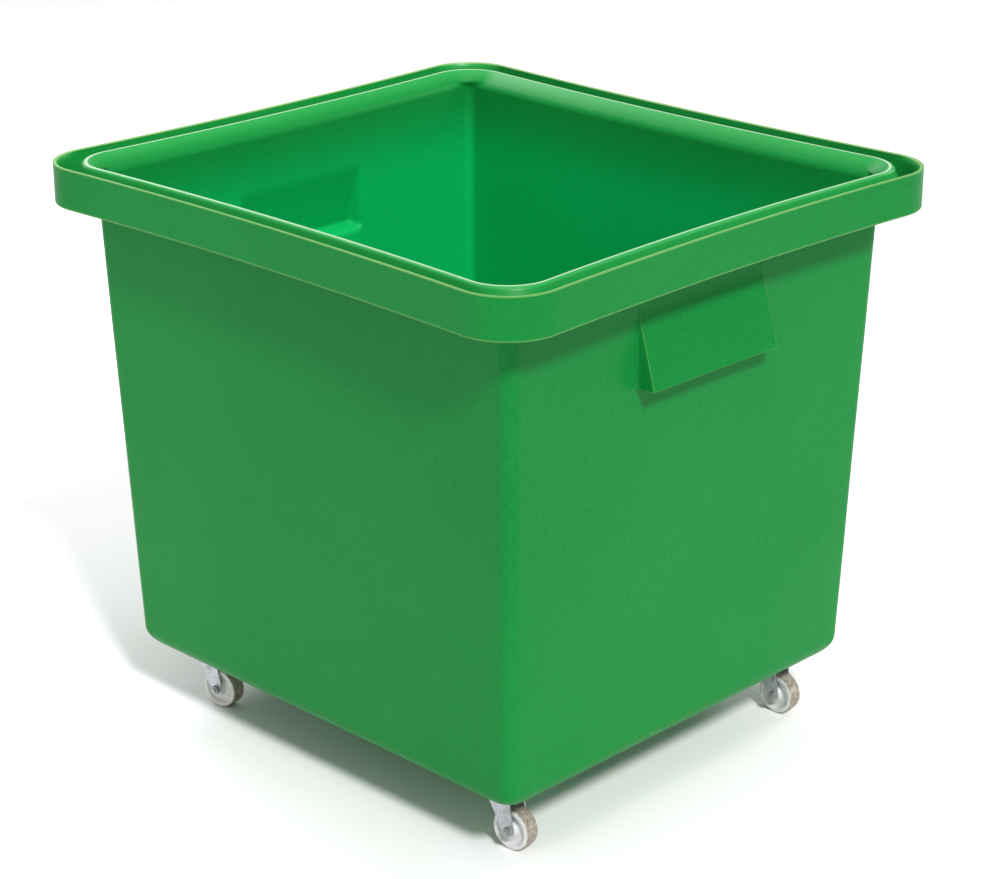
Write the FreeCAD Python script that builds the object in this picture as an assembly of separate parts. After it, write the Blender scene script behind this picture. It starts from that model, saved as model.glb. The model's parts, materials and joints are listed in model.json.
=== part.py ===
"""Mobile plastic tub on four swivel castors.

The tub is one rotationally moulded polyethylene skin: a flat floor, four
drafted walls, a flared mouth that rolls over into a gutter with an upstanding
skirt, and a hollow wedge-shaped hand grip moulded into each end wall.  Each
castor is bolted through the floor: a top plate, two ball races round a riveted
king pin, a pressed fork, and a nylon wheel turning on a sleeve and axle bolt.

Millimetres, +Z up.  The origin is on the floor that the wheels stand on, under
the centre of the tub.  X runs along the tub, from grip to grip.  The front,
the side without a grip that is seen when looking along +Y, faces -Y.
"""

import FreeCAD
import Part

import math
import os

Vector = FreeCAD.Vector
UP = Vector(0, 0, 1)
ALONG_Y = Vector(0, 1, 0)

# ---- driving dimensions: tub ------------------------------------------------
TUB_LENGTH = 777.0          # X, over the skirt at its corners
TUB_WIDTH = 720.0           # Y, over the skirt at its corners
TUB_TOP = 697.0             # top edge of the skirt
TUB_BOTTOM = 76.0           # underside of the floor, on the castor plates
WALL = 5.0                  # wall and floor thickness
RIM_WALL = 4.0              # thickness of the rolled rim
BASE_HALF_WIDTH = 292.0     # outside of the wall where the floor radius ends
DRAFT = math.radians(1.94)  # lean of the walls
BASE_RADIUS = 25.0          # outside radius between wall and floor
WALL_CORNER = 16.0          # outside corner radius of the walls, in plan
FLOOR_CORNER = 28.0         # the same round the flat of the floor, below the base radius
SKIRT_CORNER = 62.0         # outside corner radius of the skirt, in plan
CREST_CORNER = 50.0         # corner radius of the bead's crest, in plan
RIM_BOW = 10.0              # how far the rim's sides are drawn in at mid-length
LEAST_BOW = 0.2             # the same at the base, where the sides are straight

# ---- rim section, as half widths across Y and heights ------------------------
CREST_U = 329.2             # half width over the crest of the bead
CREST_RADIUS = 5.0
CREST_DROP = 0.7            # the crest lies this much under the skirt's edge
GUTTER_RADIUS = 6.0
SKIRT_DEPTH = 48.5          # skirt, from top edge to underside
SKIRT_EDGE = 2.0            # radius under the skirt's outer face
FLARE = math.radians(36)    # slope of the mouth inside the bead, up from level
FLARE_BEND = 12.0           # radius where the wall turns into the flare
EDGE_ROUND = 0.8            # trimmed edge of the skirt

# ---- hand grips --------------------------------------------------------------
GRIP_HALF_WIDTH = 105.0
GRIP_TOP = 614.0
GRIP_BOTTOM = 526.0
GRIP_DEPTH = 25.0
GRIP_LIP_RISE = 3.0         # the underside rises this much towards its edge

# ---- castors -----------------------------------------------------------------
CASTOR_X = 254.0
CASTOR_Y = 236.0
PLATE_SIDE = 60.0
PLATE_THICK = 2.5
PLATE_CORNER = 6.0
BOLT_SPACING = 45.0
TRAIL = 20.0                # from king pin to axle, along the fork
WHEEL_RADIUS = 25.0
WHEEL_HALF_WIDTH = 10.0
HUB_RADIUS = 8.5
HUB_HALF_WIDTH = 11.5
FORK_INNER = 12.0           # half the gap between the fork's legs
FORK_SHEET = 1.8
CROWN_RADIUS = 20.0
CROWN_TOP = 70.0
CROWN_THICK = 2.7
LEG_LEAD_X = -15.0
LEG_TRAIL_X = 19.0
LEG_END_RADIUS = 7.8
PIN_RADIUS = 4.0
UPPER_BALL, UPPER_PITCH, UPPER_COUNT = 2.0, 15.0, 16
LOWER_BALL, LOWER_PITCH, LOWER_COUNT = 1.5, 8.0, 13
UPPER_BALL_Z = 70.4
LOWER_BALL_Z = 66.1
RACE_CLEARANCE = 0.1
SLEEVE_RADIUS = 4.0
RUNNING_CLEARANCE = 0.05

# ---- M6 fasteners --------------------------------------------------------------
BOLT_RADIUS = 3.0
BOLT_CLEARANCE = 0.3
HEX_ACROSS = 10.0
HEX_HEAD = 4.0
NUT_HEIGHT = 5.0
WASHER_RADIUS = 6.0
WASHER_THICK = 1.5
DOME_RADIUS = 5.2
DOME_HEIGHT = 3.3
BOLT_PROUD = 1.5            # thread showing past a nut

# king pin's x and y, and degrees from +X to the trailing wheel as the tub stands
CASTORS = {
    "front_right": (CASTOR_X, -CASTOR_Y, 5.0),
    "front_left": (-CASTOR_X, -CASTOR_Y, 9.0),
    "back_right": (CASTOR_X, CASTOR_Y, 0.0),
    "back_left": (-CASTOR_X, CASTOR_Y, 4.0),
}

# ---- values worked out from those above ----------------------------------------
EXTRA_LENGTH = (TUB_LENGTH - TUB_WIDTH) / 2
BASE_FILLET_Z = TUB_BOTTOM + BASE_RADIUS
INNER_BASE_RADIUS = BASE_RADIUS - WALL
SKIRT_U = TUB_WIDTH / 2
SKIRT_BOTTOM = TUB_TOP - SKIRT_DEPTH
CREST_Z = TUB_TOP - CREST_DROP - CREST_RADIUS
GUTTER_U = SKIRT_U - RIM_WALL - GUTTER_RADIUS
GUTTER_Z = SKIRT_BOTTOM + RIM_WALL + GUTTER_RADIUS
FLOOR_TOP = TUB_BOTTOM + WALL
PLATE_BOTTOM = TUB_BOTTOM - PLATE_THICK
HALF_SPACING = BOLT_SPACING / 2


# ---- tub ------------------------------------------------------------------------

def wall_half_width(z):
    """Half width of the tub's outer wall at height z, at the corners."""
    return BASE_HALF_WIDTH + (z - BASE_FILLET_Z) * math.tan(DRAFT)


def bow_at(z):
    """How far the sides are drawn in at mid-length, growing towards the rim."""
    share = (z - BASE_FILLET_Z) / (SKIRT_BOTTOM - BASE_FILLET_Z)
    return LEAST_BOW + (RIM_BOW - LEAST_BOW) * min(1.0, max(0.0, share)) ** 2


def base_corner(u, wall_u, wall_radius):
    """Plan corner radius round the base, from the wall's down to the floor's."""
    share = (wall_u - u) / (wall_u - BASE_HALF_WIDTH + BASE_RADIUS)
    return wall_radius + share * (FLOOR_CORNER - wall_radius)


def wall_levels():
    """Heights of the wall's rings, from just above the base radius to the flare's foot."""
    height = flare_foot() - BASE_FILLET_Z
    return [BASE_FILLET_Z + height * share for share in (0.2, 0.4, 0.6, 0.8, 1.0)]


def ring(u, z, corner):
    """A rounded rectangle of half width u, its sides bowed in, as eight tangent arcs."""
    bow = bow_at(z)
    centre_x, centre_y = u + EXTRA_LENGTH - corner, u - corner

    def joint(centre, reach, side):
        """Where a corner arc meets the side's long arc."""
        side_radius = (reach ** 2 + bow ** 2) / (2 * bow) - corner
        away = Vector(corner - bow + side_radius, -reach, 0)
        away.normalize()
        turned = away if side == "x" else Vector(away.y, away.x, 0)
        return centre + turned * corner

    centre = Vector(centre_x, centre_y, z)
    on_x = joint(centre, centre_y, "x")
    on_y = joint(centre, centre_x, "y")
    middle = centre + Vector(1, 1, 0).normalize() * corner
    side_x = Vector(u + EXTRA_LENGTH - bow, 0, z)
    side_y = Vector(0, u - bow, z)

    def at(point, sx, sy):
        return Vector(point.x * sx, point.y * sy, z)

    edges = []
    for sx, sy, order in ((1, 1, 1), (-1, 1, -1), (-1, -1, 1), (1, -1, -1)):
        ends = (on_x, on_y) if order == 1 else (on_y, on_x)
        edges.append(Part.Arc(at(ends[0], sx, sy), at(middle, sx, sy), at(ends[1], sx, sy)))
        if order == 1:
            edges.append(Part.Arc(at(on_y, sx, sy), at(side_y, sx, sy), at(on_y, -sx, sy)))
        else:
            edges.append(Part.Arc(at(on_x, sx, sy), at(side_x, sx, sy), at(on_x, sx, -sy)))
    return Part.Wire([edge.toShape() for edge in edges])


def arc_points(u, z, radius, start, end, steps):
    """Points of an arc in the rim's section, angles in degrees from outwards."""
    found = []
    for i in range(steps + 1):
        angle = math.radians(start + (end - start) * i / steps)
        found.append((u + radius * math.cos(angle), z + radius * math.sin(angle)))
    return found


def slope_angle():
    """Direction, in degrees, from the crest's centre to where the gutter's side leaves it."""
    du, dz = GUTTER_U - CREST_U, GUTTER_Z - CREST_Z
    turn = math.acos((CREST_RADIUS + GUTTER_RADIUS) / math.hypot(du, dz))
    return math.degrees(math.atan2(dz, du) + turn)


def flare_foot():
    """Height where the inside wall starts to turn outwards into the flare."""
    left_u = CREST_U - CREST_RADIUS * math.sin(FLARE)
    left_z = CREST_Z + CREST_RADIUS * math.cos(FLARE)
    wall_u = wall_half_width(left_z) - WALL
    crossing = left_z - (left_u - wall_u) * math.tan(FLARE)
    return crossing - FLARE_BEND * math.tan((math.pi / 2 - FLARE) / 2)


def corner_at(u, z):
    """Plan corner radius, opening from the wall's to the crest's up the flare."""
    foot = flare_foot()
    share = min(1.0, max(0.0, (z - foot) / (CREST_Z - foot)))
    blend = share * share * (3 - 2 * share)
    crest = CREST_CORNER + (u - CREST_U) * (SKIRT_CORNER - CREST_CORNER) / (SKIRT_U - CREST_U)
    wall = WALL_CORNER - max(0.0, wall_half_width(z) - u)
    return wall * (1 - blend) + crest * blend


def outside_section():
    """(half width, height, corner radius) from the underside out and up to the skirt's edge."""
    lean = slope_angle()
    foot = flare_foot()
    flare = 90 + math.degrees(FLARE)
    section = []
    for u, z in arc_points(BASE_HALF_WIDTH - BASE_RADIUS, BASE_FILLET_Z, BASE_RADIUS, -90, 0, 6):
        section.append((u, z, base_corner(u, BASE_HALF_WIDTH, WALL_CORNER)))
    for z in wall_levels():
        section.append((wall_half_width(z), z, WALL_CORNER))
    inner_bend = FLARE_BEND - WALL
    bend_u = wall_half_width(foot) + inner_bend
    points = arc_points(bend_u, foot, inner_bend, 180, flare, 3)[1:]
    points += arc_points(CREST_U, CREST_Z, CREST_RADIUS - RIM_WALL, flare, lean, 4)
    for u, z in points:
        section.append((u, z, corner_at(u, z)))
    under = arc_points(GUTTER_U, GUTTER_Z, GUTTER_RADIUS + RIM_WALL, lean - 180, -105, 6)
    under += arc_points(SKIRT_U - SKIRT_EDGE, SKIRT_BOTTOM + SKIRT_EDGE, SKIRT_EDGE, -90, 0, 3)
    for u, z in under:
        section.append((u, z, rim_corner(u)))
    section.append((SKIRT_U, TUB_TOP - EDGE_ROUND, SKIRT_CORNER))
    section.append((SKIRT_U - EDGE_ROUND, TUB_TOP, SKIRT_CORNER - EDGE_ROUND))
    return section


def inside_section():
    """(half width, height, corner radius) from the skirt's edge down to the tub's floor."""
    lean = slope_angle()
    foot = flare_foot()
    inner_u = SKIRT_U - RIM_WALL
    section = [
        (inner_u + EDGE_ROUND, TUB_TOP, SKIRT_CORNER - RIM_WALL + EDGE_ROUND),
        (inner_u, TUB_TOP - EDGE_ROUND, SKIRT_CORNER - RIM_WALL),
    ]
    for u, z in arc_points(GUTTER_U, GUTTER_Z, GUTTER_RADIUS, 0, lean - 180, 8):
        section.append((u, z, rim_corner(u)))
    flare = 90 + math.degrees(FLARE)
    points = arc_points(CREST_U, CREST_Z, CREST_RADIUS, lean, flare, 7)
    bend_u = wall_half_width(foot) - WALL + FLARE_BEND
    points += arc_points(bend_u, foot, FLARE_BEND, flare, 180, 4)
    for u, z in points:
        section.append((u, z, corner_at(u, z) if u < CREST_U else rim_corner(u)))
    for z in reversed(wall_levels()[:-1]):
        section.append((wall_half_width(z) - WALL, z, WALL_CORNER - WALL))
    centre_u = BASE_HALF_WIDTH - BASE_RADIUS
    for u, z in arc_points(centre_u, BASE_FILLET_Z, INNER_BASE_RADIUS, 0, -90, 6):
        section.append((u, z, base_corner(u, BASE_HALF_WIDTH - WALL, WALL_CORNER - WALL)))
    return section


def rim_corner(u):
    """Plan corner radius across the rolled rim, from crest to skirt."""
    share = (u - CREST_U) / (SKIRT_U - CREST_U)
    return CREST_CORNER + share * (SKIRT_CORNER - CREST_CORNER)


def moulded_skin():
    """The tub without grips or holes: lofted skins joined by three flat faces."""
    outside = [ring(*level) for level in outside_section()]
    inside = [ring(*level) for level in inside_section()]
    faces = Part.makeLoft(outside, False, True).Faces + Part.makeLoft(inside, False, True).Faces
    faces.append(Part.Face(outside[0]))
    faces.append(Part.Face(inside[-1]))
    faces += Part.makeFace([outside[-1], inside[0]], "Part::FaceMakerBullseye").Faces
    shell = Part.makeShell(faces)
    shell.sewShape()
    return Part.makeSolid(shell)


def end_wall_x(z):
    """Outer face of an end wall at mid-width, drawn in by the bow."""
    return wall_half_width(z) + EXTRA_LENGTH - bow_at(z)


def grip_prism(inset, reach_in):
    """A wedge on the +X end: its outline in XZ, run along Y.  inset makes the hollow."""
    top_x, bottom_x = end_wall_x(GRIP_TOP), end_wall_x(GRIP_BOTTOM)
    slope = math.atan2(GRIP_DEPTH, GRIP_TOP - GRIP_BOTTOM)
    shift = inset / math.cos(slope)
    back_x = min(top_x, bottom_x) - reach_in
    slope_rate = math.tan(slope)
    low_z = GRIP_BOTTOM + inset
    rim_z = GRIP_BOTTOM + GRIP_LIP_RISE + inset
    rim_x = bottom_x + GRIP_DEPTH - shift - (rim_z - GRIP_BOTTOM) * slope_rate
    top_z = GRIP_TOP + (top_x - shift - back_x) / slope_rate
    outline = [(back_x, low_z), (bottom_x - inset, low_z), (rim_x, rim_z), (back_x, top_z)]
    half = GRIP_HALF_WIDTH - inset
    points = [Vector(x, -half, z) for x, z in outline]
    face = Part.Face(Part.makePolygon(points + points[:1]))
    return face.extrude(Vector(0, 2 * half, 0))


def bolt_centres():
    """Where every castor bolt passes through the floor."""
    signs = ((1, 1), (1, -1), (-1, 1), (-1, -1))
    return [
        (x + sx * HALF_SPACING, y + sy * HALF_SPACING)
        for x, y, swivel in CASTORS.values()
        for sx, sy in signs
    ]


def make_tub():
    tub = moulded_skin()
    for turn in (0, 180):
        grip = grip_prism(0.0, WALL / 2)
        hollow = grip_prism(WALL, WALL + 8.0)
        grip.rotate(Vector(), UP, turn)
        hollow.rotate(Vector(), UP, turn)
        tub = tub.fuse(grip).cut(hollow)
    hole = BOLT_RADIUS + BOLT_CLEARANCE
    drills = [
        Part.makeCylinder(hole, WALL + 2, Vector(x, y, TUB_BOTTOM - 1))
        for x, y in bolt_centres()
    ]
    return tub.cut(Part.makeCompound(drills))


# ---- fasteners -------------------------------------------------------------------

def hexagon(across, height, base):
    """A hexagonal prism standing on base, along +Z."""
    reach = across / math.sqrt(3)
    points = [
        base + Vector(reach * math.cos(math.radians(a)), reach * math.sin(math.radians(a)), 0)
        for a in range(0, 361, 60)
    ]
    prism = Part.Face(Part.makePolygon(points)).extrude(UP * height)
    chamfer = Part.makeCone(reach, reach + height, height, base)
    bevel = Part.makeCone(reach + height, reach, height, base)
    rounded = prism.common(Part.makeCylinder(reach * 0.97, height, base))
    return rounded.common(chamfer).common(bevel)


def dome_bolt(x, y):
    """A mushroom-headed M6 bolt, head up inside the tub."""
    head_z = FLOOR_TOP + WASHER_THICK
    ball_radius = (DOME_RADIUS ** 2 + DOME_HEIGHT ** 2) / (2 * DOME_HEIGHT)
    ball = Part.makeSphere(ball_radius, Vector(x, y, head_z + DOME_HEIGHT - ball_radius))
    head = ball.common(Part.makeCylinder(DOME_RADIUS + 1, DOME_HEIGHT, Vector(x, y, head_z)))
    end_z = PLATE_BOTTOM - NUT_HEIGHT - BOLT_PROUD
    shank = Part.makeCylinder(BOLT_RADIUS, head_z - end_z, Vector(x, y, end_z))
    return head.fuse(shank).removeSplitter()


def washer(x, y):
    base = Vector(x, y, FLOOR_TOP)
    bore = Part.makeCylinder(BOLT_RADIUS + BOLT_CLEARANCE, WASHER_THICK, base)
    return Part.makeCylinder(WASHER_RADIUS, WASHER_THICK, base).cut(bore)


def nut(base):
    """A nut along +Z, its bore meeting the thread face to face."""
    return hexagon(HEX_ACROSS, NUT_HEIGHT, base).cut(Part.makeCylinder(BOLT_RADIUS, NUT_HEIGHT, base))


def at_bolts(make):
    """make(x, y) at the four bolts of one castor, as one group."""
    signs = ((1, 1), (1, -1), (-1, 1), (-1, -1))
    return Part.makeCompound([make(sx * HALF_SPACING, sy * HALF_SPACING) for sx, sy in signs])


# ---- castor, its king pin on the Z axis and its wheel trailing towards +X ---------

def disc(radius, low, high, bore=0.0):
    """A flat ring round the king pin."""
    ring_solid = Part.makeCylinder(radius, high - low, Vector(0, 0, low))
    if bore:
        ring_solid = ring_solid.cut(Part.makeCylinder(bore, high - low, Vector(0, 0, low)))
    return ring_solid


def race(ball, pitch, z):
    """The groove that a ring of balls runs in."""
    return Part.makeTorus(pitch, ball + RACE_CLEARANCE, Vector(0, 0, z))


def make_plate():
    half = PLATE_SIDE / 2
    blank = Part.makeBox(PLATE_SIDE, PLATE_SIDE, PLATE_THICK, Vector(-half, -half, PLATE_BOTTOM))
    corners = [edge for edge in blank.Edges if abs(edge.tangentAt(0).z) > 0.9]
    plate = blank.makeFillet(PLATE_CORNER, corners)
    plate = plate.fuse(disc(UPPER_PITCH + 4.0, UPPER_BALL_Z + 0.4, PLATE_BOTTOM))
    plate = plate.cut(race(UPPER_BALL, UPPER_PITCH, UPPER_BALL_Z))
    plate = plate.cut(disc(UPPER_PITCH - 3.5, UPPER_BALL_Z, PLATE_BOTTOM))
    plate = plate.cut(disc(PIN_RADIUS, PLATE_BOTTOM, TUB_BOTTOM))
    hole = BOLT_RADIUS + BOLT_CLEARANCE
    holes = at_bolts(lambda x, y: Part.makeCylinder(hole, PLATE_THICK, Vector(x, y, PLATE_BOTTOM)))
    return plate.cut(holes)


def make_king_pin():
    head_low, head_high = LOWER_BALL_Z - 5.4, LOWER_BALL_Z - 3.0
    pin = disc(PIN_RADIUS, head_low, TUB_BOTTOM)
    head = Part.makeCone(PIN_RADIUS + 1.0, PIN_RADIUS + 2.5, head_high - head_low, Vector(0, 0, head_low))
    return pin.fuse(head).removeSplitter()


def make_race_cup():
    cup = disc(LOWER_PITCH + 2.8, LOWER_BALL_Z - 3.0, LOWER_BALL_Z - 0.4, PIN_RADIUS)
    return cup.cut(race(LOWER_BALL, LOWER_PITCH, LOWER_BALL_Z))


def make_balls(ball, pitch, count, z):
    places = [math.radians(360 * i / count) for i in range(count)]
    return Part.makeCompound([
        Part.makeSphere(ball, Vector(pitch * math.cos(a), pitch * math.sin(a), z)) for a in places
    ])


def tangent_point(point, side):
    """Where a line from point (x, z) touches the leg's rounded end.  side is 1 or -1."""
    dx, dz = point[0] - TRAIL, point[1] - WHEEL_RADIUS
    distance = math.hypot(dx, dz)
    angle = math.atan2(dz, dx) + side * math.acos(LEG_END_RADIUS / distance)
    return leg_end(angle)


def leg_end(angle):
    return Vector(
        TRAIL + LEG_END_RADIUS * math.cos(angle), 0, WHEEL_RADIUS + LEG_END_RADIUS * math.sin(angle)
    )


def leg_outline():
    """Side view of the fork: wide at the crown, narrowing to the rounded end at the axle."""
    lead, trail = (LEG_LEAD_X, CROWN_TOP), (LEG_TRAIL_X, CROWN_TOP)
    lead_foot, trail_foot = tangent_point(lead, 1), tangent_point(trail, -1)
    lead_top, trail_top = Vector(lead[0], 0, lead[1]), Vector(trail[0], 0, trail[1])
    lowest = leg_end(math.radians(-70))
    edges = [
        Part.LineSegment(lead_top, trail_top).toShape(),
        Part.LineSegment(trail_top, trail_foot).toShape(),
        Part.Arc(trail_foot, lowest, lead_foot).toShape(),
        Part.LineSegment(lead_foot, lead_top).toShape(),
    ]
    return Part.Face(Part.Wire(edges))


def channel_box(half, top, corner):
    """A long box, its two upper edges rounded, that the fork's channel is made from."""
    box = Part.makeBox(200, 2 * half, 200, Vector(-100, -half, top - 200))
    upper = [e for e in box.Edges if abs(e.tangentAt(0).x) > 0.9 and e.CenterOfMass.z > top - 1]
    return box.makeFillet(corner, upper)


def make_fork():
    outer = FORK_INNER + FORK_SHEET
    side = leg_outline()
    side.translate(Vector(0, -outer, 0))
    legs = side.extrude(Vector(0, 2 * outer, 0)).common(channel_box(outer, CROWN_TOP, 3.6))
    legs = legs.cut(channel_box(FORK_INNER, CROWN_TOP - CROWN_THICK, 2.2))
    fork = legs.fuse(disc(CROWN_RADIUS, CROWN_TOP - CROWN_THICK, CROWN_TOP))
    fork = fork.fuse(disc(LOWER_PITCH + 3.5, LOWER_BALL_Z + 0.4, CROWN_TOP - CROWN_THICK))
    fork = fork.cut(race(UPPER_BALL, UPPER_PITCH, UPPER_BALL_Z))
    fork = fork.cut(race(LOWER_BALL, LOWER_PITCH, LOWER_BALL_Z))
    fork = fork.cut(disc(PIN_RADIUS + 0.6, LOWER_BALL_Z, CROWN_TOP))
    return fork.cut(axle_cylinder(BOLT_RADIUS + RUNNING_CLEARANCE, -outer, outer))


def axle_cylinder(radius, low, high):
    """A cylinder on the axle's line, from y low to y high."""
    return Part.makeCylinder(radius, high - low, Vector(TRAIL, low, WHEEL_RADIUS), ALONG_Y)


def on_axle(solid, y, turn):
    """Lay a solid made along +Z on the axle's line, its base at y."""
    solid.rotate(Vector(), Vector(1, 0, 0), turn)
    solid.translate(Vector(TRAIL, y, WHEEL_RADIUS))
    return solid


def make_axle_bolt():
    outer = FORK_INNER + FORK_SHEET
    head = on_axle(hexagon(HEX_ACROSS, HEX_HEAD, Vector()), outer, -90)
    return head.fuse(axle_cylinder(BOLT_RADIUS, -outer - NUT_HEIGHT - BOLT_PROUD, outer))


def make_axle_nut():
    return on_axle(nut(Vector()), -FORK_INNER - FORK_SHEET, 90)


def make_axle_sleeve():
    bore = axle_cylinder(BOLT_RADIUS + RUNNING_CLEARANCE, -FORK_INNER, FORK_INNER)
    return axle_cylinder(SLEEVE_RADIUS, -FORK_INNER, FORK_INNER).cut(bore)


def make_wheel():
    """A solid nylon wheel: bored hub, dished web, and a rim with rounded shoulders."""
    bore = SLEEVE_RADIUS + RUNNING_CLEARANCE
    shoulder = 2.0
    half = [
        (bore, HUB_HALF_WIDTH), (HUB_RADIUS, HUB_HALF_WIDTH), (HUB_RADIUS + 0.8, 6.0),
        (18.0, 6.0), (19.4, WHEEL_HALF_WIDTH), (WHEEL_RADIUS - shoulder, WHEEL_HALF_WIDTH),
    ]
    outline = half + [(r, -y) for r, y in reversed(half)]
    blank = [Vector(r, y, 0) for r, y in outline]
    slant = shoulder * (1 - math.sqrt(0.5))
    top = [
        Vector(WHEEL_RADIUS - slant, WHEEL_HALF_WIDTH - slant, 0),
        Vector(WHEEL_RADIUS, WHEEL_HALF_WIDTH - shoulder, 0),
    ]
    low = [Vector(p.x, -p.y, 0) for p in top]
    count = len(half)
    edges = [Part.LineSegment(blank[i], blank[i + 1]).toShape() for i in range(count - 1)]
    edges.append(Part.Arc(blank[count - 1], top[0], top[1]).toShape())
    edges.append(Part.LineSegment(top[1], low[1]).toShape())
    edges.append(Part.Arc(low[1], low[0], blank[count]).toShape())
    edges += [Part.LineSegment(blank[i], blank[i + 1]).toShape() for i in range(count, 2 * count - 1)]
    edges.append(Part.LineSegment(blank[-1], blank[0]).toShape())
    wheel = Part.Face(Part.Wire(edges)).revolve(Vector(), ALONG_Y, 360)
    wheel.translate(Vector(TRAIL, 0, WHEEL_RADIUS))
    return wheel


def castor_parts():
    """The pieces of one castor: those fixed to the tub, and those that swivel."""
    fixed = {
        "top_plate": make_plate(),
        "king_pin": make_king_pin(),
        "race_cup": make_race_cup(),
        "mounting_bolts": at_bolts(dome_bolt),
        "mounting_washers": at_bolts(washer),
        "mounting_nuts": at_bolts(lambda x, y: nut(Vector(x, y, PLATE_BOTTOM - NUT_HEIGHT))),
    }
    swivelling = {
        "fork": make_fork(),
        "upper_balls": make_balls(UPPER_BALL, UPPER_PITCH, UPPER_COUNT, UPPER_BALL_Z),
        "lower_balls": make_balls(LOWER_BALL, LOWER_PITCH, LOWER_COUNT, LOWER_BALL_Z),
        "axle_bolt": make_axle_bolt(),
        "axle_nut": make_axle_nut(),
        "axle_sleeve": make_axle_sleeve(),
        "wheel": make_wheel(),
    }
    return fixed, swivelling


def export(shape, name):
    piece = shape.Solids[0] if len(shape.Solids) == 1 else shape
    assert piece.isValid(), name
    piece.exportStep(os.path.join("parts", name + ".step"))


def main():
    os.makedirs("parts", exist_ok=True)
    export(make_tub(), "tub")
    fixed, swivelling = castor_parts()
    for place, (x, y, swivel) in CASTORS.items():
        for name, shape in {**fixed, **swivelling}.items():
            piece = shape.copy()
            if name in swivelling:
                piece.rotate(Vector(), UP, swivel)
            piece.translate(Vector(x, y, 0))
            export(piece, place + "_" + name)


main()
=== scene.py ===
"""Looks for the mobile tub: a moulded green skin, zinc-plated castors, nylon wheels.

Metres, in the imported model's own frame.  The tub's skin repeats the section and
plan of its solid at a finer step, with the soft blends of a moulding.
"""

import json
import math

import bmesh
import bpy
from mathutils import Matrix, Vector, noise


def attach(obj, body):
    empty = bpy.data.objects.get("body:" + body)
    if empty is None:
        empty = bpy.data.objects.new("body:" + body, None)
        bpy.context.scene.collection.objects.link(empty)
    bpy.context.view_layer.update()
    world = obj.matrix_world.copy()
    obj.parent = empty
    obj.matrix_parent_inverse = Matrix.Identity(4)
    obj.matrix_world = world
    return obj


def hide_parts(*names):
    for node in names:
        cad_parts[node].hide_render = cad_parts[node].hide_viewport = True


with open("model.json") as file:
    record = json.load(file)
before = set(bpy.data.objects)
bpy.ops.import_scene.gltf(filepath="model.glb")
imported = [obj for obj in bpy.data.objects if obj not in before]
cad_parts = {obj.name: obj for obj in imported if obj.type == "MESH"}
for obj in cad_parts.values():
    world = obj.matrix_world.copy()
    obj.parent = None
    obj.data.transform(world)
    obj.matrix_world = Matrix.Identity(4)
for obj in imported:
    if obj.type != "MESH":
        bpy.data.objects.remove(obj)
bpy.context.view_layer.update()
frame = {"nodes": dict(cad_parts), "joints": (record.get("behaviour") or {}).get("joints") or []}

MM = 0.001
PLACES = ("front_right", "front_left", "back_right", "back_left")

# ---- tub: the sizes of its solid ---------------------------------------------------
TUB_TOP = 697 * MM
TUB_BOTTOM = 76 * MM
TUB_LENGTH = 777 * MM
TUB_WIDTH = 720 * MM
WALL = 5 * MM
RIM_WALL = 4 * MM
BASE_HALF_WIDTH = 292 * MM
DRAFT = math.radians(1.94)
BASE_RADIUS = 25 * MM
WALL_CORNER = 16 * MM
FLOOR_CORNER = 28 * MM
SKIRT_CORNER = 62 * MM
CREST_CORNER = 50 * MM
RIM_BOW = 10 * MM
LEAST_BOW = 0.2 * MM
CREST_U = 329.2 * MM
CREST_RADIUS = 5 * MM
CREST_DROP = 0.7 * MM
GUTTER_RADIUS = 6 * MM
SKIRT_DEPTH = 48.5 * MM
SKIRT_EDGE = 2 * MM
FLARE = math.radians(36)
FLARE_BEND = 12 * MM
EDGE_ROUND = 0.8 * MM
EDGE_LEAD = 0.6 * MM            # plain skirt kept beside its rounded top edge
SKIRT_LEAD = 1 * MM             # the same above its rounded bottom edge

EXTRA_LENGTH = (TUB_LENGTH - TUB_WIDTH) / 2
BASE_FILLET_Z = TUB_BOTTOM + BASE_RADIUS
SKIRT_U = TUB_WIDTH / 2
SKIRT_BOTTOM = TUB_TOP - SKIRT_DEPTH
CREST_Z = TUB_TOP - CREST_DROP - CREST_RADIUS
GUTTER_U = SKIRT_U - RIM_WALL - GUTTER_RADIUS
GUTTER_Z = SKIRT_BOTTOM + RIM_WALL + GUTTER_RADIUS

# ---- hand grips ----------------------------------------------------------------------
GRIP_HALF_WIDTH = 105 * MM
GRIP_TOP = 614 * MM
GRIP_BOTTOM = 526 * MM
GRIP_DEPTH = 25 * MM
GRIP_LIP_RISE = 3 * MM
GRIP_TAIL = 0.12                # share of the stand-off left to the soft blend past a grip's end
POCKET_HALF_WIDTH = 92 * MM
POCKET_DEPTH = 17.5 * MM
POCKET_BLEND = 10 * MM

# ---- how the skin is divided, where it is worn, and where light is painted on it -------
CORNER_STEPS = 14
UNEVENNESS = 0.5 * MM           # greatest shift of the skin from its true surface
UNEVEN_SCALE = 5                # waves of that unevenness in a metre
# painted highlight along the skirt's rounded bottom edge
SKIRT_BOTTOM_HIGHLIGHT = 0.25
SKIRT_TOP_WEAR = 0.35           # on the outer half of the skirt's top edge
SKIRT_INNER_WEAR = 0.75         # on its inner half
# paler line along a grip's lip and ends: part wear, part painted highlight
GRIP_EDGE_WEAR_AND_HIGHLIGHT = 0.35
INSIDE_LIGHT_FADE = 120 * MM          # depth below the crest at which the inside's painted brightening is full
RIM_LIGHT_WIDTH = 4 * MM          # how far inside the crest's middle the rim's painted lighter colour and extra gloss begin

# ---- wheels ----------------------------------------------------------------------------
WHEEL_RADIUS = 25 * MM
WHEEL_HALF_WIDTH = 10 * MM
HUB_HALF_WIDTH = 11.5 * MM
HUB_RADIUS = 8.5 * MM
WHEEL_BORE = 4.05 * MM
TREAD_ROUND = 2.4 * MM
TREAD_STEPS = 7
WHEEL_STEPS = 96

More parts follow.
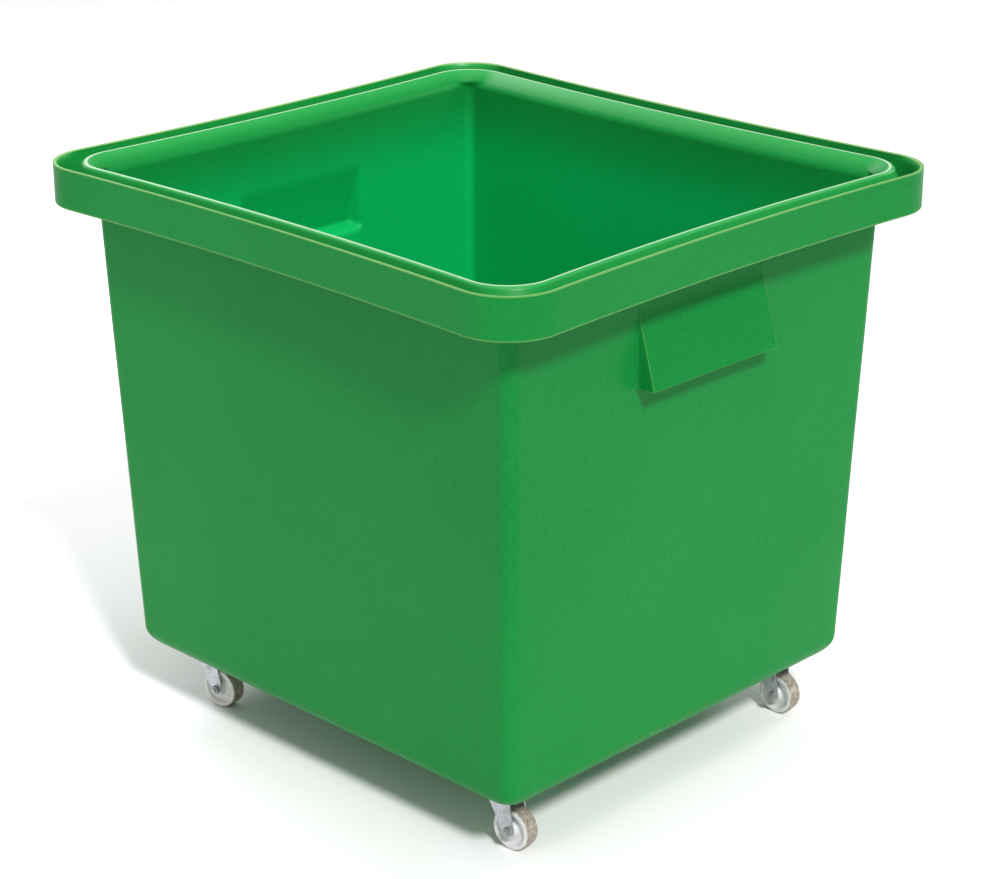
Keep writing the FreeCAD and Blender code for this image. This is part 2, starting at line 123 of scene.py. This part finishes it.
# ---- light and view --------------------------------------------------------------------
CAMERA_AT = Vector((2.10292, -2.11737, 1.5095))
CAMERA_LOOKS = Vector((-0.65366, 0.66480, -0.36162))
CAMERA_ROLL = math.radians(-0.18)
CAMERA_LENS = 95.70
SENSOR_WIDTH = 36
KEY_FROM = Vector((1.0, -0.42, 1.06)).normalized()
LIGHTS_LOOK_AT = Vector((0, 0, 0.4))
WORLD_STRENGTH = 0.42
FLOOR_REACH = 14.0


# ---- tub mesh ------------------------------------------------------------------------

def wall_half_width(z):
    return BASE_HALF_WIDTH + (z - BASE_FILLET_Z) * math.tan(DRAFT)


def bow_at(z):
    share = (z - BASE_FILLET_Z) / (SKIRT_BOTTOM - BASE_FILLET_Z)
    return LEAST_BOW + (RIM_BOW - LEAST_BOW) * min(1.0, max(0.0, share)) ** 2


def smooth(t):
    t = min(1.0, max(0.0, t))
    return t * t * (3 - 2 * t)


def arc(u, z, radius, start, end, steps):
    """(u, z) points of an arc in the wall's section, angles in degrees from outwards."""
    angles = [math.radians(start + (end - start) * i / steps) for i in range(steps + 1)]
    return [(u + radius * math.cos(a), z + radius * math.sin(a)) for a in angles]


def slope_angle():
    du, dz = GUTTER_U - CREST_U, GUTTER_Z - CREST_Z
    turn = math.acos((CREST_RADIUS + GUTTER_RADIUS) / math.hypot(du, dz))
    return math.degrees(math.atan2(dz, du) + turn)


def flare_foot():
    left_u = CREST_U - CREST_RADIUS * math.sin(FLARE)
    left_z = CREST_Z + CREST_RADIUS * math.cos(FLARE)
    wall_u = wall_half_width(left_z) - WALL
    crossing = left_z - (left_u - wall_u) * math.tan(FLARE)
    return crossing - FLARE_BEND * math.tan((math.pi / 2 - FLARE) / 2)


def rim_corner(u):
    share = (u - CREST_U) / (SKIRT_U - CREST_U)
    return CREST_CORNER + share * (SKIRT_CORNER - CREST_CORNER)


def corner_at(u, z):
    """Plan corner radius, opening from the wall's to the crest's up the flare."""
    foot = flare_foot()
    blend = smooth((z - foot) / (CREST_Z - foot))
    wall = WALL_CORNER - max(0.0, wall_half_width(z) - u)
    return wall * (1 - blend) + rim_corner(u) * blend


def base_corner(u, wall_u, wall_radius):
    """Plan corner radius round the base, from the wall's down to the floor's."""
    share = (wall_u - u) / (wall_u - BASE_HALF_WIDTH + BASE_RADIUS)
    return wall_radius + share * (FLOOR_CORNER - wall_radius)


def run(a, b, count):
    """count values after a, the last one b."""
    return [a + (b - a) * (i + 1) / count for i in range(count)]


class Row:
    """One ring of the skin: half width, height, corner radius, how far a grip
    pushes it out, how much of the paler edge line (part trim and wear, part painted highlight) it
    carries, and how much of the painted crest highlight."""

    def __init__(self, u, z, corner, grip=0.0, edge=0.0, line=0.0):
        self.u, self.z, self.corner = u, z, corner
        self.grip, self.edge, self.line = grip, edge, line


def grip_outline():
    """(height, stand-off) up the outside of a grip, from the wall below to the wall above."""
    lip = GRIP_BOTTOM + GRIP_LIP_RISE
    points = [(GRIP_BOTTOM - 5 * MM, 0.0), (GRIP_BOTTOM - 2 * MM, 0.3 * MM)]
    points += [(GRIP_BOTTOM - 0.6 * MM, 1.0 * MM), (GRIP_BOTTOM, 2.4 * MM)]
    points += [(GRIP_BOTTOM + GRIP_LIP_RISE * s, GRIP_DEPTH * s) for s in (0.3, 0.6, 0.85, 0.94)]
    points += [(lip + h * MM, GRIP_DEPTH - d * MM) for h, d in ((0.3, 0.2), (0.8, 0.35), (1.6, 0.55))]
    for s in (0.06, 0.12, 0.25, 0.4, 0.55, 0.7, 0.8, 0.88, 0.94):
        points.append((lip + s * (GRIP_TOP - lip), GRIP_DEPTH * (1 - s)))
    points += [(GRIP_TOP, 0.7 * MM), (GRIP_TOP + 6 * MM, 0.15 * MM), (GRIP_TOP + 14 * MM, 0.0)]
    return points


def pocket_outline():
    """(height, depth) down the inside of a grip's hollow, from the wall above to the wall below."""
    top, shelf = GRIP_TOP - 4 * MM, GRIP_BOTTOM + WALL
    points = [(top + 6 * MM, 0.0), (top, 0.4 * MM)]
    for s in (0.08, 0.2, 0.35, 0.5, 0.65, 0.8, 0.88):
        points.append((top - s * (top - shelf), 0.4 * MM + POCKET_DEPTH * s * 1.04))
    points += [(shelf + h * MM, POCKET_DEPTH * d) for h, d in
               ((7.0, 0.985), (5.2, 0.96), (3.8, 0.9), (2.6, 0.79), (1.6, 0.64), (0.6, 0.47), (-0.5, 0.3),
                (-1.9, 0.15), (-4.0, 0.05))]
    points.append((shelf - 9 * MM, 0.0))
    return points


def outside_rows():
    lean, foot = slope_angle(), flare_foot()
    rows = []
    for u, z in arc(BASE_HALF_WIDTH - BASE_RADIUS, BASE_FILLET_Z, BASE_RADIUS, -90, 0, 12):
        rows.append(Row(u, z, base_corner(u, BASE_HALF_WIDTH, WALL_CORNER)))
    outline = grip_outline()
    for z in run(BASE_FILLET_Z, outline[0][0] - 12 * MM, 16):
        rows.append(Row(wall_half_width(z), z, WALL_CORNER))
    for z, stand in outline:
        rows.append(Row(wall_half_width(z), z, WALL_CORNER, grip=stand))
    for z in run(outline[-1][0], foot, 4):
        rows.append(Row(wall_half_width(z), z, WALL_CORNER))
    inner_bend = FLARE_BEND - WALL
    bend_u = wall_half_width(foot) + inner_bend
    flare = 90 + math.degrees(FLARE)
    points = arc(bend_u, foot, inner_bend, 180, flare, 5)[1:]
    points += arc(CREST_U, CREST_Z, CREST_RADIUS - RIM_WALL, flare, lean, 5)
    rows += [Row(u, z, corner_at(u, z)) for u, z in points]
    for u, z in arc(GUTTER_U, GUTTER_Z, GUTTER_RADIUS + RIM_WALL, lean - 180, -90, 6):
        rows.append(Row(u, z, rim_corner(u)))
    for u, z in arc(SKIRT_U - SKIRT_EDGE, SKIRT_BOTTOM + SKIRT_EDGE, SKIRT_EDGE, -90, 0, 5):
        # painted highlight: the skirt's rounded bottom edge is made paler
        rows.append(Row(u, z, rim_corner(u), edge=SKIRT_BOTTOM_HIGHLIGHT))
    skirt_low, skirt_high = SKIRT_BOTTOM + SKIRT_EDGE + SKIRT_LEAD, TUB_TOP - EDGE_ROUND - EDGE_LEAD
    rows += [Row(SKIRT_U, z, SKIRT_CORNER) for z in [skirt_low] + run(skirt_low, skirt_high, 6)]
    for u, z in arc(SKIRT_U - EDGE_ROUND, TUB_TOP - EDGE_ROUND, EDGE_ROUND, 0, 90, 4):
        rows.append(Row(u, z, SKIRT_CORNER - (SKIRT_U - u), edge=SKIRT_TOP_WEAR))
    return rows


def inside_rows():
    lean, foot = slope_angle(), flare_foot()
    inner_u = SKIRT_U - RIM_WALL
    rows = []
    for u, z in arc(inner_u + EDGE_ROUND, TUB_TOP - EDGE_ROUND, EDGE_ROUND, 90, 180, 4):
        rows.append(Row(u, z, SKIRT_CORNER - (SKIRT_U - u), edge=SKIRT_INNER_WEAR))
    edge_end = TUB_TOP - EDGE_ROUND - EDGE_LEAD
    for z in [edge_end] + run(edge_end, GUTTER_Z + 4 * MM, 4):
        rows.append(Row(inner_u, z, rim_corner(inner_u)))
    for u, z in arc(GUTTER_U, GUTTER_Z, GUTTER_RADIUS, 0, lean - 180, 12):
        rows.append(Row(u, z, rim_corner(u)))
    flare = 90 + math.degrees(FLARE)
    bend_u = wall_half_width(foot) - WALL + FLARE_BEND
    crest = arc(CREST_U, CREST_Z, CREST_RADIUS, lean, flare, 16)
    for u, z in crest:
        # painted highlight: a near-white line along the top of the crest
        crest_highlight_share = smooth((z - CREST_Z) / CREST_RADIUS * 12 - 11.2)
        rows.append(Row(u, z, corner_at(u, z), line=crest_highlight_share))
    rows += [Row(u, z, corner_at(u, z)) for u, z in arc(bend_u, foot, FLARE_BEND, flare, 180, 8)]
    outline = pocket_outline()
    for z in run(foot, outline[0][0] + 6 * MM, 4):
        rows.append(Row(wall_half_width(z) - WALL, z, WALL_CORNER - WALL))
    for z, depth in outline:
        rows.append(Row(wall_half_width(z) - WALL, z, WALL_CORNER - WALL, grip=-depth))
    for z in run(outline[-1][0], BASE_FILLET_Z, 14):
        rows.append(Row(wall_half_width(z) - WALL, z, WALL_CORNER - WALL))
    for u, z in arc(BASE_HALF_WIDTH - BASE_RADIUS, BASE_FILLET_Z, BASE_RADIUS - WALL, 0, -90, 12)[1:]:
        rows.append(Row(u, z, base_corner(u, BASE_HALF_WIDTH - WALL, WALL_CORNER - WALL)))
    return rows


def grip_share(y):
    """How much of a grip's stand-off column y takes: a crisp end, then a soft blend to the wall."""
    past = (abs(y) - GRIP_HALF_WIDTH) / MM
    steep = 1 - smooth((past + 1.5) / 2.3)
    tail = (1 - smooth((past - 0.4) / 14.0)) ** 2
    return steep + GRIP_TAIL * tail * (1 - steep)


def pocket_share(y):
    return 1 - smooth((abs(y) - POCKET_HALF_WIDTH) / POCKET_BLEND)


def end_columns():
    """Fixed y positions across an end wall, close together where a grip or its hollow ends."""
    half = [0.0, 25.0, 50.0, 75.0, 88.0, 92.0, 94.5, 97.0, 99.5, 101.5, 102.8, 103.4, 103.8]
    half += [104.2, 104.6, 105.0, 105.4, 105.8, 106.4, 107.4, 109.0, 111.5, 115.0, 119.0, 124.0]
    return [-y * MM for y in reversed(half[1:])] + [y * MM for y in half]


def ring_points(row):
    """The ring as (x, y, on an end wall), anticlockwise from the middle of +X."""
    bow, corner = bow_at(row.z), row.corner
    half_x, half_y = row.u + EXTRA_LENGTH, row.u
    centre_x, centre_y = half_x - corner, half_y - corner

    def side_radius(reach):
        return (reach ** 2 + bow ** 2) / (2 * bow) - corner

    def joint_angle(reach):
        """How far past its quarter turn the corner's arc runs, to meet the side's arc."""
        return math.atan2(reach, corner - bow + side_radius(reach))

    radius_x, radius_y = side_radius(centre_y), side_radius(centre_x)
    over_x, over_y = joint_angle(centre_y), joint_angle(centre_x)
    joint_y = centre_y - corner * math.sin(over_x)
    joint_x = centre_x - corner * math.sin(over_y)
    quarter = []
    columns = end_columns()
    for y in [c for c in columns if c >= 0] + run(columns[-1], joint_y, 7):
        x = half_x - bow + radius_x - math.sqrt(radius_x ** 2 - y ** 2)
        quarter.append((x, y, True))
    for i in range(1, CORNER_STEPS):
        angle = -over_x + (math.pi / 2 + over_x + over_y) * i / CORNER_STEPS
        quarter.append((centre_x + corner * math.cos(angle), centre_y + corner * math.sin(angle), False))
    for x in [joint_x] + run(joint_x, 0.0, 14):
        y = half_y - bow + radius_y - math.sqrt(radius_y ** 2 - x ** 2)
        quarter.append((x, y, False))
    half = quarter + [(-x, y, end) for x, y, end in reversed(quarter[:-1])]
    return half + [(-x, -y, end) for x, y, end in half[1:-1]]


def placed(row, x, y, on_end, inside):
    """The point pushed out by a grip, with the gentle unevenness of a moulding, and its share of the
    paler edge line (part wear, part painted highlight).
    """
    edge = row.edge
    if row.grip and on_end:
        share = grip_share(y) if row.grip > 0 else pocket_share(y)
        push = abs(row.grip) * share
        x += math.copysign(push, x)
        # paler line on the grip's lip and ends: part wear, part painted highlight
        if row.grip > 0 and push > 1 * MM:
            lip = abs(row.z - GRIP_BOTTOM - GRIP_LIP_RISE - 0.1 * MM) < 0.4 * MM
            end = abs(abs(y) - GRIP_HALF_WIDTH + 1.6 * MM) < 0.3 * MM
            if end or lip and abs(y) < GRIP_HALF_WIDTH + 0.6 * MM:
                edge = max(edge, GRIP_EDGE_WEAR_AND_HIGHLIGHT)
    wave_z = row.z * UNEVEN_SCALE + (3 if inside else 0)
    wave = noise.noise(Vector((x * UNEVEN_SCALE, y * UNEVEN_SCALE, wave_z)))
    shift = UNEVENNESS * wave * smooth((row.z - BASE_FILLET_Z) / 0.1)
    outward = Vector((x, y, 0)).normalized()
    return Vector((x, y, row.z)) + outward * shift, edge


def tub_skin():
    """The whole moulding as one closed mesh."""
    outside, inside = outside_rows(), inside_rows()
    mesh = bpy.data.meshes.new("tub_skin")
    bm = bmesh.new()
    # paler edge line: trimmed and worn edges, plus painted highlights on the skirt's bottom edge and the
    # grips
    edge_layer = bm.verts.layers.float.new("edge_trim_wear_and_highlight")
    # painted light: the inside is brightened, more so with depth below the crest
    inside_light_layer = bm.verts.layers.float.new("inside")
    # painted light: a lighter green on the rim's slope and gutter, which is also made more specular
    rim_layer = bm.verts.layers.float.new("rim_painted_light_and_gloss")
    # painted crest highlight: a near-white line along the crest
    line_layer = bm.verts.layers.float.new("painted_crest_highlight")
    rings = []
    for rows, is_inside in ((outside, False), (inside, True)):
        for row in rows:
            ring = []
            for x, y, on_end in ring_points(row):
                point, edge = placed(row, x, y, on_end, is_inside)
                vert = bm.verts.new(point)
                vert[edge_layer] = edge
                # painted light: a brighter colour inside the tub, fading in below the crest
                in_mouth = is_inside and row.u < CREST_U
                vert[inside_light_layer] = smooth((CREST_Z - row.z) / INSIDE_LIGHT_FADE) if in_mouth else 0.0
                # painted light: the rim outward of the crest's middle gets a lighter green
                on_rim = is_inside and row.u > CREST_U - RIM_LIGHT_WIDTH
                vert[rim_layer] = 1.0 if on_rim else 0.0
                vert[line_layer] = row.line
                ring.append(vert)
            rings.append(ring)
    count = len(rings[0])
    for low, high in zip(rings, rings[1:]):
        for i in range(count):
            j = (i + 1) % count
            bm.faces.new((low[i], low[j], high[j], high[i]))
    bm.faces.new(list(reversed(rings[0])))
    bm.faces.new(rings[-1])
    bmesh.ops.recalc_face_normals(bm, faces=bm.faces)
    bm.to_mesh(mesh)
    bm.free()
    skin = bpy.data.objects.new("tub_skin", mesh)
    bpy.context.scene.collection.objects.link(skin)
    mesh.shade_smooth()
    return skin


# ---- materials -----------------------------------------------------------------------

class Nodes:
    """A material and short calls for the nodes in it."""

    def __init__(self, name):
        self.material = bpy.data.materials.new(name)
        self.material.use_nodes = True
        self.tree = self.material.node_tree
        self.shader = self.tree.nodes["Principled BSDF"]
        self.place = self.tree.nodes.new("ShaderNodeTexCoord").outputs["Object"]

    def link(self, output, target):
        self.tree.links.new(output, target)

    def noise(self, scale, detail=4.0, roughness=0.55):
        node = self.tree.nodes.new("ShaderNodeTexNoise")
        node.inputs["Scale"].default_value = scale
        node.inputs["Detail"].default_value = detail
        node.inputs["Roughness"].default_value = roughness
        self.link(self.place, node.inputs["Vector"])
        return node.outputs["Fac"]

    def ramp(self, value, stops):
        """stops is a list of (position, colour or grey)."""
        node = self.tree.nodes.new("ShaderNodeValToRGB")
        ramp = node.color_ramp
        while len(ramp.elements) < len(stops):
            ramp.elements.new(0.5)
        for element, (position, colour) in zip(ramp.elements, stops):
            element.position = position
            element.color = (*colour, 1) if isinstance(colour, tuple) else (colour, colour, colour, 1)
        self.link(value, node.inputs["Fac"])
        return node.outputs["Color"]

    def mix(self, factor, first, second):
        """Colour mix; factor is an output socket, the others a socket, a colour or a grey."""
        node = self.tree.nodes.new("ShaderNodeMix")
        node.data_type = "RGBA"
        self.link(factor, node.inputs[0])
        for socket, value in ((node.inputs[6], first), (node.inputs[7], second)):
            if isinstance(value, bpy.types.NodeSocket):
                self.link(value, socket)
            elif isinstance(value, tuple):
                socket.default_value = (*value, 1)
            else:
                socket.default_value = (value, value, value, 1)
        return node.outputs[2]

    def attribute(self, name):
        node = self.tree.nodes.new("ShaderNodeAttribute")
        node.attribute_name = name
        return node.outputs["Fac"]

    def bump(self, height, distance, strength=1.0, normal=None):
        node = self.tree.nodes.new("ShaderNodeBump")
        node.inputs["Distance"].default_value = distance
        node.inputs["Strength"].default_value = strength
        self.link(height, node.inputs["Height"])
        if normal:
            self.link(normal, node.inputs["Normal"])
        return node.outputs["Normal"]

    def colour(self, output):
        self.link(output, self.shader.inputs["Base Color"])

    def roughness(self, output):
        self.link(output, self.shader.inputs["Roughness"])

    def normal(self, output):
        self.link(output, self.shader.inputs["Normal"])


def moulded_green():
    """Polyethylene: slightly mottled, glossy in patches, paler along trimmed and worn edges; painted
    highlights along the crest and some edges, and painted light brightening the inside and the rim.
    """
    m = Nodes("moulded_green")
    cloud = m.noise(3.2, detail=3.0)
    outer = m.ramp(cloud, [(0.3, (0.0020, 0.186, 0.029)), (0.72, (0.0065, 0.206, 0.034))])
    # painted light: the inside's brighter green
    brightened_inner = m.ramp(cloud, [(0.3, (0.0006, 0.395, 0.096)), (0.72, (0.0012, 0.425, 0.108))])
    body = m.mix(m.attribute("inside"), outer, brightened_inner)
    # painted light: the rim painted a lighter green
    body = m.mix(m.attribute("rim_painted_light_and_gloss"), body, (0.009, 0.290, 0.047))
    speck = m.ramp(m.noise(220, detail=2.0), [(0.35, 0.0), (0.75, 0.35)])
    body = m.mix(speck, body, (0.010, 0.260, 0.056))
    edge_line_share = m.attribute("edge_trim_wear_and_highlight")
    # paler edge line: part trim and wear, part painted highlight
    with_edge_line = m.mix(edge_line_share, body, (0.27, 0.46, 0.15))
    # painted highlight: near-white line along the crest
    m.colour(m.mix(m.attribute("painted_crest_highlight"), with_edge_line, (0.50, 0.66, 0.50)))
    haze = m.ramp(m.noise(9, detail=6.0, roughness=0.6), [(0.25, 0.36), (0.8, 0.48)])
    m.roughness(haze)
    polish = m.ramp(m.attribute("rim_painted_light_and_gloss"), [(0.0, 0.10), (1.0, 0.35)])
    m.link(polish, m.shader.inputs["Specular IOR Level"])
    fine = m.bump(m.noise(900, detail=2.0), 0.00004, strength=0.35)
    m.normal(m.bump(m.noise(26, detail=2.0), 0.0006, strength=0.25, normal=fine))
    return m.material


def zinc_plate():
    """Pressed sheet under dulled zinc, with patches of grime."""
    m = Nodes("zinc_plate")
    m.shader.inputs["Metallic"].default_value = 0.85
    spangle = m.ramp(m.noise(420, detail=5.0), [(0.3, (0.46, 0.47, 0.51)), (0.7, (0.64, 0.65, 0.70))])
    grime = m.ramp(m.noise(90, detail=7.0, roughness=0.7), [(0.48, 0.0), (0.7, 1.0)])
    m.colour(m.mix(grime, spangle, (0.30, 0.30, 0.28)))
    m.roughness(m.ramp(m.noise(160, detail=4.0), [(0.3, 0.38), (0.75, 0.62)]))
    m.normal(m.bump(m.noise(500, detail=3.0), 0.0001, strength=0.5))
    return m.material


def fastener_steel():
    """Dull plated steel of the bolts, nuts, pins and balls."""
    m = Nodes("fastener_steel")
    m.shader.inputs["Metallic"].default_value = 0.9
    m.colour(m.ramp(m.noise(300, detail=5.0), [(0.3, (0.26, 0.26, 0.25)), (0.7, (0.50, 0.50, 0.49))]))
    m.roughness(m.ramp(m.noise(260, detail=4.0), [(0.3, 0.35), (0.75, 0.6)]))
    m.normal(m.bump(m.noise(700, detail=3.0), 0.00008, strength=0.5))
    return m.material


def nylon():
    """White nylon, greyed, its tread stained brown by rolling."""
    m = Nodes("nylon")
    m.shader.inputs["Subsurface Weight"].default_value = 0.15
    m.shader.inputs["Subsurface Scale"].default_value = 0.003
    clean = m.ramp(m.noise(140, detail=5.0), [(0.3, (0.56, 0.56, 0.55)), (0.75, (0.72, 0.72, 0.71))])
    stain = m.noise(260, detail=8.0, roughness=0.7)
    dirt = m.ramp(stain, [(0.3, (0.17, 0.14, 0.10)), (0.7, (0.36, 0.30, 0.24))])
    tread = m.attribute("tread")
    patchy = m.mix(tread, 0.0, m.ramp(m.noise(180, detail=5.0), [(0.25, 0.45), (0.55, 1.0)]))
    m.colour(m.mix(patchy, clean, dirt))
    m.roughness(m.mix(tread, m.ramp(m.noise(200), [(0.3, 0.38), (0.7, 0.5)]), 0.75))
    m.normal(m.bump(m.noise(350, detail=4.0), 0.00015, strength=0.5))
    return m.material


def studio_white():
    """A plain pale floor."""
    m = Nodes("studio_floor")
    m.colour(m.ramp(m.noise(2.0, detail=2.0), [(0.3, (0.93, 0.93, 0.93)), (0.7, (0.95, 0.95, 0.95))]))
    m.shader.inputs["Roughness"].default_value = 0.7
    return m.material


# ---- castors -------------------------------------------------------------------------

def assign(obj, material):
    obj.data.materials.clear()
    obj.data.materials.append(material)


def dress_castors(materials):
    plated = ("top_plate", "race_cup", "fork")
    for place in PLACES:
        for name, obj in frame["nodes"].items():
            if name.startswith(place + "_") and not name.endswith("_wheel"):
                part = name[len(place) + 1:]
                assign(obj, materials["zinc" if part in plated else "steel"])


def wheel_profile():
    """(radius, distance from mid-plane, tread) of one half, from the bore out to the tread."""
    points = [(WHEEL_BORE, HUB_HALF_WIDTH - 0.6 * MM), (WHEEL_BORE + 0.6 * MM, HUB_HALF_WIDTH)]
    points += [(HUB_RADIUS - 0.8 * MM, HUB_HALF_WIDTH), (HUB_RADIUS, HUB_HALF_WIDTH - 0.8 * MM)]
    points += [(HUB_RADIUS + 0.4 * MM, 8.5 * MM), (HUB_RADIUS + 1.2 * MM, 6.9 * MM)]
    points += [(HUB_RADIUS + 2.6 * MM, 6.2 * MM)]
    points += [(14 * MM, 6.0 * MM), (16.4 * MM, 6.2 * MM), (17.8 * MM, 6.9 * MM), (18.6 * MM, 8.2 * MM)]
    points += [(19.2 * MM, 9.4 * MM), (20.0 * MM, 9.95 * MM), (21.4 * MM, WHEEL_HALF_WIDTH)]
    points = [(r, y, 0.0) for r, y in points]
    for i in range(TREAD_STEPS + 1):
        angle = math.radians(90 - 90 * i / TREAD_STEPS)
        radius = WHEEL_RADIUS - TREAD_ROUND + TREAD_ROUND * math.cos(angle)
        along = WHEEL_HALF_WIDTH - TREAD_ROUND + TREAD_ROUND * math.sin(angle)
        points.append((radius, along, smooth((i - 1.5) / 4)))
    return points


def wheel_piece(place, material):
    """A turned wheel in the place of its solid, on the solid's own axis."""
    joint = next(j for j in frame["joints"] if j["name"] == place + "_roll")
    centre, axis = Vector(joint["pos_m"]), Vector(joint["axis"])
    half = wheel_profile()
    outline = half + [(r, -y, t) for r, y, t in reversed(half)]
    bm = bmesh.new()
    tread_layer = bm.verts.layers.float.new("tread")
    turn = axis.to_track_quat("Z", "Y").to_matrix()
    rings = []
    for i in range(WHEEL_STEPS):
        angle = 2 * math.pi * i / WHEEL_STEPS
        ring = []
        for radius, along, tread in outline:
            point = Vector((radius * math.cos(angle), radius * math.sin(angle), along))
            vert = bm.verts.new(centre + turn @ point)
            vert[tread_layer] = tread
            ring.append(vert)
        rings.append(ring)
    count = len(outline)
    for i in range(WHEEL_STEPS):
        first, second = rings[i], rings[(i + 1) % WHEEL_STEPS]
        for k in range(count):
            n = (k + 1) % count
            bm.faces.new((first[k], second[k], second[n], first[n]))
    bmesh.ops.recalc_face_normals(bm, faces=bm.faces)
    mesh = bpy.data.meshes.new(place + "_wheel_piece")
    bm.to_mesh(mesh)
    bm.free()
    mesh.shade_smooth()
    wheel = bpy.data.objects.new(place + "_wheel_piece", mesh)
    bpy.context.scene.collection.objects.link(wheel)
    assign(wheel, material)
    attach(wheel, place + "_rolling")
    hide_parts(place + "_wheel")


# ---- stage ---------------------------------------------------------------------------

def make_floor():
    mesh = bpy.data.meshes.new("studio_floor")
    bm = bmesh.new()
    bmesh.ops.create_grid(bm, x_segments=4, y_segments=4, size=FLOOR_REACH)
    bm.to_mesh(mesh)
    bm.free()
    floor = bpy.data.objects.new("studio_floor", mesh)
    bpy.context.scene.collection.objects.link(floor)
    assign(floor, studio_white())


def area_light(name, direction, distance, size, power):
    """A square soft light that looks at the middle of the tub."""
    light = bpy.data.lights.new(name, "AREA")
    light.size = size
    light.energy = power
    obj = bpy.data.objects.new(name, light)
    obj.location = LIGHTS_LOOK_AT + direction.normalized() * distance
    obj.rotation_euler = direction.to_track_quat("Z", "Y").to_euler()
    bpy.context.scene.collection.objects.link(obj)


def sun_light(name, direction, angle, strength):
    """A distant light; angle is its apparent size in degrees."""
    light = bpy.data.lights.new(name, "SUN")
    light.angle = math.radians(angle)
    light.energy = strength
    obj = bpy.data.objects.new(name, light)
    obj.rotation_euler = direction.to_track_quat("Z", "Y").to_euler()
    bpy.context.scene.collection.objects.link(obj)


def make_light():
    world = bpy.data.worlds.new("studio")
    world.use_nodes = True
    background = world.node_tree.nodes["Background"]
    background.inputs["Color"].default_value = (1, 1, 1, 1)
    background.inputs["Strength"].default_value = WORLD_STRENGTH
    bpy.context.scene.world = world
    sun_light("key", KEY_FROM, 9, 2.80)
    area_light("overhead", Vector((0.05, -0.05, 1.0)), 3.2, 2.2, 42)
    area_light("front_fill", Vector((-0.30, -1.0, 0.12)), 3.5, 1.6, 8)
    area_light("left_strip", Vector((-0.80, 0.15, 0.60)), 3.0, 1.2, 30)
    area_light("back_strip", Vector((0.15, 0.80, 0.45)), 3.0, 0.9, 14)


def make_camera():
    camera = bpy.data.cameras.new("camera")
    camera.lens = CAMERA_LENS
    camera.sensor_width = SENSOR_WIDTH
    camera.clip_end = 50
    obj = bpy.data.objects.new("camera", camera)
    look = CAMERA_LOOKS.to_track_quat("-Z", "Y").to_matrix().to_4x4()
    obj.matrix_world = Matrix.Translation(CAMERA_AT) @ look @ Matrix.Rotation(CAMERA_ROLL, 4, "Z")
    bpy.context.scene.collection.objects.link(obj)
    bpy.context.scene.camera = obj


def main():
    scene = bpy.context.scene
    scene.view_settings.view_transform = "Standard"
    skin = tub_skin()
    assign(skin, moulded_green())
    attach(skin, "tub")
    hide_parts("tub")
    materials = {"zinc": zinc_plate(), "steel": fastener_steel(), "nylon": nylon()}
    dress_castors(materials)
    for place in PLACES:
        wheel_piece(place, materials["nylon"])
    make_floor()
    make_light()
    make_camera()


main()
